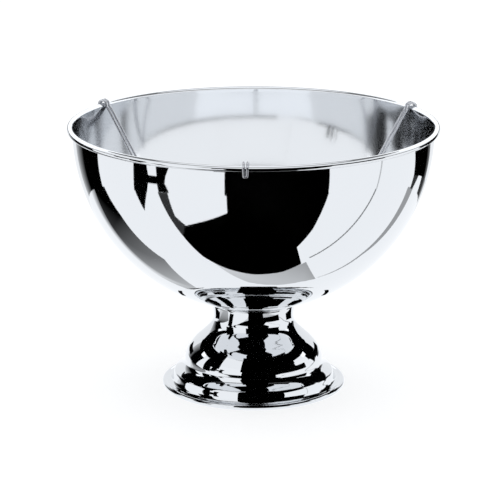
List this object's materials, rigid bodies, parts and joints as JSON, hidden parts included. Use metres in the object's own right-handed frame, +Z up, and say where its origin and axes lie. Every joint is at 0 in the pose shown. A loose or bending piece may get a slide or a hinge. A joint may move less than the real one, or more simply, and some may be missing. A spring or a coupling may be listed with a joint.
{
  "type": "footed punch bowl",
  "caption": "Mirror-polished footed steel punch bowl with a curled rim, a domed pedestal foot and a lift-out wire bottle divider hooked over the rim.",
  "frame": {"origin": "on the table, under the axis of the bowl and foot", "axes": "+Z up along the bowl's axis, -Y towards the front, where the first divider arm hooks over the rim, +X to the right"},
  "size_m": [0.38, 0.3831, 0.2809],
  "materials": {
    "polished_bowl": "stainless steel, mirror polished outside and finely brushed inside",
    "polished_foot": "stainless steel, mirror polished outside",
    "fixing": "plain zinc-plated steel",
    "wire": "drawn stainless wire, lightly polished"
  },
  "bodies": {
    "bowl": {"bowl_shell": "polished_bowl", "pedestal_foot": "polished_foot", "mounting_stud": "fixing", "load_washer": "fixing", "foot_nut": "fixing"},
    "divider": {"divider_arm_front": "wire", "divider_arm_right": "wire", "divider_arm_left": "wire", "divider_base_ring": "wire"}
  },
  "joints": [
    {"name": "divider_lift", "type": "slide", "parent": "bowl", "child": "divider", "axis": [0, 0, 1], "range_m": [0, 0.2]}
  ]
}
